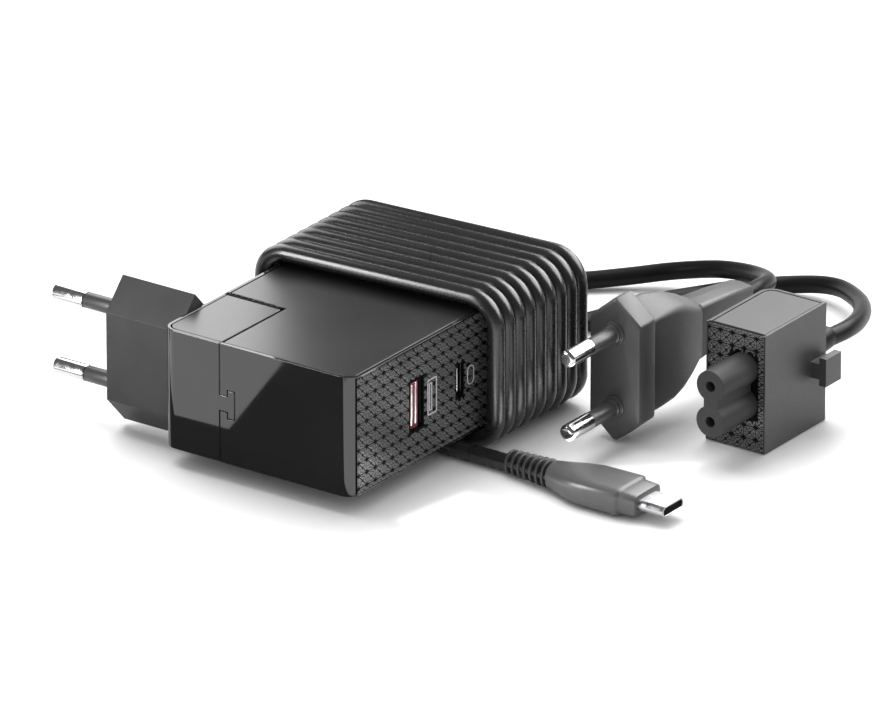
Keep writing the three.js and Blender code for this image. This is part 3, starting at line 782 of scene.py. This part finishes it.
def glyph_outline(name, y, half_width, half_height, radius, line=0.22):
    """A port's outline as a printed mark: a flat ring standing off the relief."""
    middle_z = middle_of(*node_box("usb_a_shell")).z

    def ring(grow):
        w, h = half_width + grow, half_height + grow
        corners = [(y + w, middle_z + h), (y - w, middle_z + h),
                   (y - w, middle_z - h), (y + w, middle_z - h)]
        return rounded(corners, max(radius + grow, 0.05), 6)

    outer, inner = ring(0), ring(-line)
    rings = [
        [at(PORT_FRONT + off, p.x, p.y) for p in outline]
        for outline, off in (
            (outer, -MARK_BELOW), (outer, MARK_ABOVE), (inner, MARK_ABOVE), (inner, -MARK_BELOW),
        )
    ]
    bm = loft([*rings, rings[0]], caps=False)
    bmesh.ops.remove_doubles(bm, verts=bm.verts, dist=1e-7)
    place(name, to_mesh(name, bm), GLYPH, "charger", "port_steel")


def add_glyphs():
    glyph_outline("mark_wide_port", 30.5, 1.75, 4.3, 0.4)
    glyph_outline("mark_wide_port_tongue", 29.9, 0.5, 3.3, 0.1, 0.2)
    glyph_outline("mark_small_port", 45.4, 1.3, 2.3, 1.2)


# ---- plug module --------------------------------------------------------------------------
def add_module():
    refined("module_shell", "plug_module", 0.22, 3, 50)
    refined("module_top_panel", "plug_module", 0.15, 2)
    refined("module_bottom_panel", "plug_module", 0.15, 2)
    refined("module_connector", "plug_module", 0.35, 3, 35, CONNECTOR)
    refined("module_plug_body", "plug_module", 0.45, 4, 25, MODULE_BOSS)
    low, high = node_box("module_plug_body")
    middle = middle_of(low, high)
    add_pins("module", (low.x, middle.y, middle.z), (-1, 0, 0), "plug_module")


# ---- mains lead ---------------------------------------------------------------------------
COLLAR_START = (50.5, BLOCK_BACK - 0.1, 16.5)
COLLAR_AIM = (50.28, 114.6, 16.5)
COLLAR = [(0, 3.3), (0.6, 3.3), (0.9, 3.05), (1.4, 2.95), (4, 2.8), (7.2, 2.6), (8, 2.45),
          (8.2, 2.2), (8.2, 2)]


def add_block():
    refined("block_shell", "mains_lead", 0.22, 3, 50, BLOCK_SIDE)
    refined("block_top_panel", "mains_lead", 0.15, 2)
    refined("block_bottom_panel", "mains_lead", 0.15, 2)
    refined("block_connector", "mains_lead", 0.35, 3, 35, CONNECTOR)
    start = at(*COLLAR_START)
    bm = lathe(COLLAR, start, at(*COLLAR_AIM) - start)
    place("block_collar", to_mesh("block_collar", bm), MAINS_RUBBER, "mains_lead",
          "cable_rubber", ["block_cord_collar"])


# Sections of the lead's plug: distance behind its face, half width, half height at the sides, half
# height at the ridges, corner radius.
PLUG_FLANGE = [
    (0, 6.3, 11.3, 17.0, 0.8),
    (0.2, 6.65, 11.6, 17.4, 1.0),
    (0.6, 6.85, 11.8, 17.65, 1.1),
    (5.9, 6.85, 11.8, 17.65, 1.1),
    (6.3, 6.7, 11.65, 17.45, 1.1),
    (6.45, 6.25, 11.1, 16.2, 1.2),
]
PLUG_HANDLE = [
    (6.3, 6.0, 10.8, 15.5, 1.3),
    (6.8, 6.1, 10.9, 15.6, 1.3),
    (11, 6.15, 10.9, 15.3, 1.8),
    (16, 6.15, 10.8, 14.0, 2.4),
    (20, 5.95, 9.9, 12.4, 2.6),
    (24, 5.4, 8.1, 10.6, 2.4),
    (27, 4.8, 6.5, 8.9, 2.0),
    (28.9, 4.3, 5.9, 7.9, 1.6),
]
PLUG_TAPER = [
    (28.6, 3.9, 6.3, 6.75, 1.3),
    (29.4, 4.15, 6.7, 7.0, 1.3),
    (40, 3.8, 5.6, 5.9, 1.2),
    (50.4, 3.4, 4.1, 4.4, 1.1),
    (51.1, 3.1, 3.7, 4.0, 1.1),
    (51.3, 2.4, 2.6, 2.9, 1.0),
]


def plug_section(back, half_width, side, ridge, radius):
    corners = [(half_width, side), (0, ridge), (-half_width, side),
               (-half_width, -side), (0, -ridge), (half_width, -side)]
    outline = rounded(corners, radius)
    return [at(PLUG_MIDDLE.x + p.x, PLUG_FRONT + back, PLUG_MIDDLE.z + p.y) for p in outline]


def add_lead_plug():
    # The handle takes the darker copy of the plug plastic: painted shade.
    for name, sections, look, slot, node in (
        ("lead_plug_body", PLUG_FLANGE, LOOKS["plug_plastic"], "plug_plastic", ["lead_plug_grip"]),
        ("lead_plug_handle", PLUG_HANDLE, HANDLE_PAINTED_SHADE, "plug_plastic", []),
        ("lead_plug_taper", PLUG_TAPER, LOOKS["plug_plastic"], "cable_rubber", ["lead_plug_tail"]),
    ):
        bm = loft([plug_section(*row) for row in sections])
        place(name, to_mesh(name, bm), look, "mains_lead", slot, node, 30)
    add_pins("lead", (PLUG_MIDDLE.x, PLUG_FRONT, PLUG_MIDDLE.z), (0, -1, 0), "mains_lead")


# ---- USB-C plug ---------------------------------------------------------------------------
RELIEF_START_X, RELIEF_START_Z = 14.2, 2.75
RIBS = 7
# One rib along its share of the relief: the part of the share, and how much height is reached.
RIB = ((0.0, 0.0), (0.02, 0.9), (0.1, 1.0), (0.32, 1.0), (0.4, 0.9), (0.42, 0.0))
# Sections of the overmould: distance from its back, half width, half height, squareness.
OVERMOULD = [
    (0, 3.0, 2.7, 2.4),
    (0.3, 3.35, 3.0, 2.5),
    (3.2, 4.3, 3.15, 2.8),
    (7.0, 5.8, 3.3, 3.4),
    (10.5, 6.4, 3.38, 4.0),
    (20.6, 6.4, 3.4, 4.6),
    (21.1, 6.25, 3.32, 4.6),
    (21.45, 5.8, 3.0, 4.6),
    (21.6, 5.6, 2.86, 4.8),
    (25.2, 5.35, 2.62, 5.2),
    (25.6, 5.15, 2.45, 5.2),
    (25.75, 4.8, 2.1, 5.0),
]
# Sections of the metal shell and the dark insert, whose near black is the insert's own black and
# painted shade in the plug's mouth: distance behind the tip, half width, half height.
USB_SHELL_TIP = [
    (0.25, 4.12, 1.32), (0.08, 4.06, 1.26), (0, 3.92, 1.12),
    (0, 3.78, 0.98), (0.08, 3.72, 0.92), (5, 3.72, 0.92),
]
USB_INSERT = [(4.95, 3.68, 0.88), (0.3, 3.68, 0.88), (0.22, 3.62, 0.82)]


def squircle(middle, half_width, half_height, power=3.4, count=48):
    """A closed outline across x, between an ellipse and a rectangle."""
    out = []
    for i in range(count):
        a = 2 * math.pi * i / count
        c, s = math.cos(a), math.sin(a)
        y = math.copysign(abs(c) ** (2 / power), c) * half_width
        z = math.copysign(abs(s) ** (2 / power), s) * half_height
        out.append(middle + Vector((0, y, z)) * MM)
    return out


def add_usb_relief(start, end):
    """A dark core with ribs round it and a spine along each side. The core's black, darker than the
    ribs, is painted shade in the gaps between them.
    """
    def across(t, half_width, half_height):
        return squircle(at(*start.lerp(end, t)), half_width, half_height, 2.3)

    # The core is black plastic, darker than the ribs: painted shade in the gaps between them.
    core = [across(t, 1.75 + 0.5 * t, 1.7 + 0.5 * t) for t in (0, 0.5, 1)]
    place("usb_plug_core", to_mesh("usb_plug_core", loft(core)), LOOKS["black_plastic"], "charger",
          "cable_rubber", ["usb_plug_relief"], 40)
    bm = bmesh.new()
    for i in range(RIBS):
        rings = []
        for part, lift in RIB:
            t = (i + part) / RIBS
            radius = 1.6 + 0.5 * t + (1.1 + 0.1 * t) * lift
            rings.append(across(t, radius * 1.03, radius))
        loft(rings, into=bm)
    for side in (-1, 1):
        spine = []
        for t in (0, 1):
            middle = start.lerp(end, t) + Vector((0, side * (1.9 + 0.6 * t), 0))
            spine.append(squircle(at(*middle), 0.5, 0.6, 2.3, 16))
        loft(spine, into=bm)
    place("usb_plug_ribs", to_mesh("usb_plug_ribs", bm), LOOKS["plug_plastic"], "charger",
          "cable_rubber", sharp=40)


def add_usb_plug():
    low, high = node_box("usb_plug_grip")
    middle = middle_of(low, high)
    add_usb_relief(
        Vector((RELIEF_START_X, USB_TAIL[-1][1], RELIEF_START_Z)),
        Vector((low.x + 0.4, middle.y + 0.05, middle.z - 0.05)),
    )
    rings = [squircle(at(low.x + x, middle.y, middle.z), w, h, p) for x, w, h, p in OVERMOULD]
    place("usb_plug_overmould", to_mesh("usb_plug_overmould", loft(rings)), USB_GRIP,
          "charger", "cable_rubber", ["usb_plug_grip"], 30)
    tip = node_box("usb_plug_shell")[1].x

    def stadium(back, half_width, half_height):
        corners = [(half_width, half_height), (-half_width, half_height),
                   (-half_width, -half_height), (half_width, -half_height)]
        outline = rounded(corners, half_height * 0.98, 8)
        return [at(tip - back, middle.y + p.x, middle.z + p.y) for p in outline]

    root = (tip - (low.x + 25.2), *USB_SHELL_TIP[0][1:])
    rings = [stadium(*row) for row in (root, *USB_SHELL_TIP)]
    place("usb_plug_nose", to_mesh("usb_plug_nose", loft(rings)), USB_SHELL, "charger",
          "port_steel", ["usb_plug_shell"], 30)
    # The insert fills the plug's mouth flush in near black: its black plastic and painted shade.
    rings = [stadium(*row) for row in USB_INSERT]
    place("usb_plug_insert", to_mesh("usb_plug_insert", loft(rings)), BLACK_AND_PAINTED_SHADE, "charger",
          "black_plastic")


# ---- boot ---------------------------------------------------------------------------------
BOOT_START = (-29.5, 89.3)
BOOT_RIBS = 4
BOOT_RIB_PITCH = 2.2
ELBOW_START = (-31.2, 82.6)
ELBOW = [(0, 2.4), (3.2, 2.4), (3.2, 2.9), (4.2, 3.1), (6.6, 3.1), (8.2, 2.8), (8.9, 1.9),
         (9.0, 0.5)]


def add_boot():
    """The ribbed sleeve along the rear end and the elbow that brings it out of the housing."""
    middle_z = middle_of(*node_box("cable_boot")).z
    profile = [(0, 1.0), (0, 2.9), (0.3, 3.2), (5.5, 3.2)]
    for i in range(BOOT_RIBS):
        x = 6.2 + i * BOOT_RIB_PITCH
        r = 3.15 - 0.14 * i
        profile += [(x, r), (x + 0.2, r - 0.55), (x + 0.75, r - 0.55), (x + 0.95, r)]
    profile += [(16.3, 2.55), (16.9, 2.3), (16.9, 2.0)]
    bm = lathe(profile, at(*BOOT_START, middle_z), (-1, 0, 0))
    place("boot_sleeve", to_mesh("boot_sleeve", bm), LOOKS["cable_rubber"], "charger",
          "cable_rubber", ["cable_boot"], 40)
    bm = lathe(ELBOW, at(*ELBOW_START, middle_z), (0, 1, 0), 36)
    place("boot_elbow", to_mesh("boot_elbow", bm), LOOKS["cable_rubber"], "charger", "cable_rubber",
          sharp=40)


# ---- stage --------------------------------------------------------------------------------
FLOOR_DROP = 0.0002
DIFFUSE_LEVEL = 0.78
GLOSSY_LEVEL = 0.16
MIRRORED_UP = (-0.531, 0.752, 0.391)


def area_light(name, location, target, size, power):
    """A soft light for the matt part of each surface; the cards make the reflections."""
    data = bpy.data.lights.new(name, "AREA")
    data.energy = power
    data.size = size
    light = bpy.data.objects.new(name, data)
    light.location = location
    light.rotation_mode = "QUATERNION"
    light.rotation_quaternion = (Vector(target) - Vector(location)).to_track_quat("-Z", "Y")
    light.visible_glossy = False
    bpy.context.scene.collection.objects.link(light)


def card(name, corners, strength):
    """A studio card that only reflections see. corners are points of the layout."""
    mesh = bpy.data.meshes.new(name)
    mesh.from_pydata([at(*c) for c in corners], [], [range(len(corners))])
    paint = bpy.data.materials.new(name)
    paint.use_nodes = True
    nodes, links = paint.node_tree.nodes, paint.node_tree.links
    nodes.clear()
    glow = nodes.new("ShaderNodeEmission")
    glow.inputs["Strength"].default_value = strength
    links.new(glow.outputs["Emission"], nodes.new("ShaderNodeOutputMaterial").inputs["Surface"])
    mesh.materials.append(paint)
    made = bpy.data.objects.new(name, mesh)
    bpy.context.scene.collection.objects.link(made)
    for kind in ("camera", "diffuse", "transmission", "volume_scatter", "shadow"):
        setattr(made, f"visible_{kind}", False)


def floor_card(name, corners, strength, height=0.6):
    """A card lying just above the floor, for the upright faces. corners are (x, y)."""
    card(name, [(x, y, height) for x, y in corners], strength)


def slanted_card(name, toward, distance, across, up, strength):
    """A card square to the direction toward, that far out, between two limits across and up."""
    ahead = Vector(toward).normalized()
    side = ahead.cross(UP).normalized()
    rise = side.cross(ahead)
    corners = [(across[0], up[0]), (across[1], up[0]), (across[1], up[1]), (across[0], up[1])]
    card(name, [ahead * distance + side * a + rise * b for a, b in corners], strength)


def add_cards():
    floor_card("card_front", [(-160, -90), (6, -90), (6, -2), (-160, -2)], 0.04, 0.3)
    floor_card("card_left", [(-66, -69), (-50.9, -23.1), (-75, -22), (-118, -5), (-150, -69)], 2.3)
    floor_card("card_corner", [(-3, -17), (-15, -78), (80, -60), (76, 36), (16, 8)], 2.6)
    floor_card("card_ports_near", [(7, 5), (18, 6), (24, 20), (18, 28), (11, 28)], 7.5)
    floor_card("card_ports_far", [(18, 40), (44, 47), (46, 72), (20, 50)], 6.0)
    slanted_card("card_left_top", MIRRORED_UP, 140, (-90, -19), (-10, 60), 4.2)
    slanted_card("card_right_top", MIRRORED_UP, 280, (45, 150), (-40, 60), 2.6)
    slanted_card("card_back_right", (0.304, 0.752, 0.585), 300, (-160, 150), (-100, 130), 9.5)
    slanted_card("card_first_turn", (-0.531, -0.81, 0.27), 260, (2, 78), (-45, 125), 28.0)


def add_world():
    """White all round: bright for matt surfaces, dim in reflections, where the cards take over."""
    world = bpy.data.worlds.new("studio")
    world.use_nodes = True
    nodes, links = world.node_tree.nodes, world.node_tree.links
    ray = nodes.new("ShaderNodeLightPath")
    level = nodes.new("ShaderNodeMapRange")
    level.inputs["To Min"].default_value = DIFFUSE_LEVEL
    level.inputs["To Max"].default_value = GLOSSY_LEVEL
    links.new(ray.outputs["Is Glossy Ray"], level.inputs["Value"])
    links.new(level.outputs["Result"], nodes["Background"].inputs["Strength"])
    nodes["Background"].inputs["Color"].default_value = (1, 1, 1, 1)
    bpy.context.scene.world = world


def add_stage():
    bm = bmesh.new()
    bmesh.ops.create_grid(bm, x_segments=1, y_segments=1, size=4.0)
    mesh = bpy.data.meshes.new("floor")
    bm.to_mesh(mesh)
    bm.free()
    mesh.materials.append(new_material("floor_white", (0.9, 0.9, 0.9), 0.55, specular=0.2))
    floor = bpy.data.objects.new("floor", mesh)
    floor.location.z = -FLOOR_DROP
    bpy.context.scene.collection.objects.link(floor)
    add_world()
    area_light("key", (-0.55, 0.3, 1.15), (0, 0, 0), 1.2, 24)
    add_cards()
    bpy.context.scene.view_settings.view_transform = "Standard"


# ---- the whole scene ----------------------------------------------------------------------
add_camera()
dress_cad_nodes()
usb_cable, usb_points, mains_cord, mains_points = add_cords()
add_stage()
add_patterns()
add_charger_shell()
add_glyphs()
add_module()
add_block()
add_lead_plug()
add_usb_plug()
add_boot()
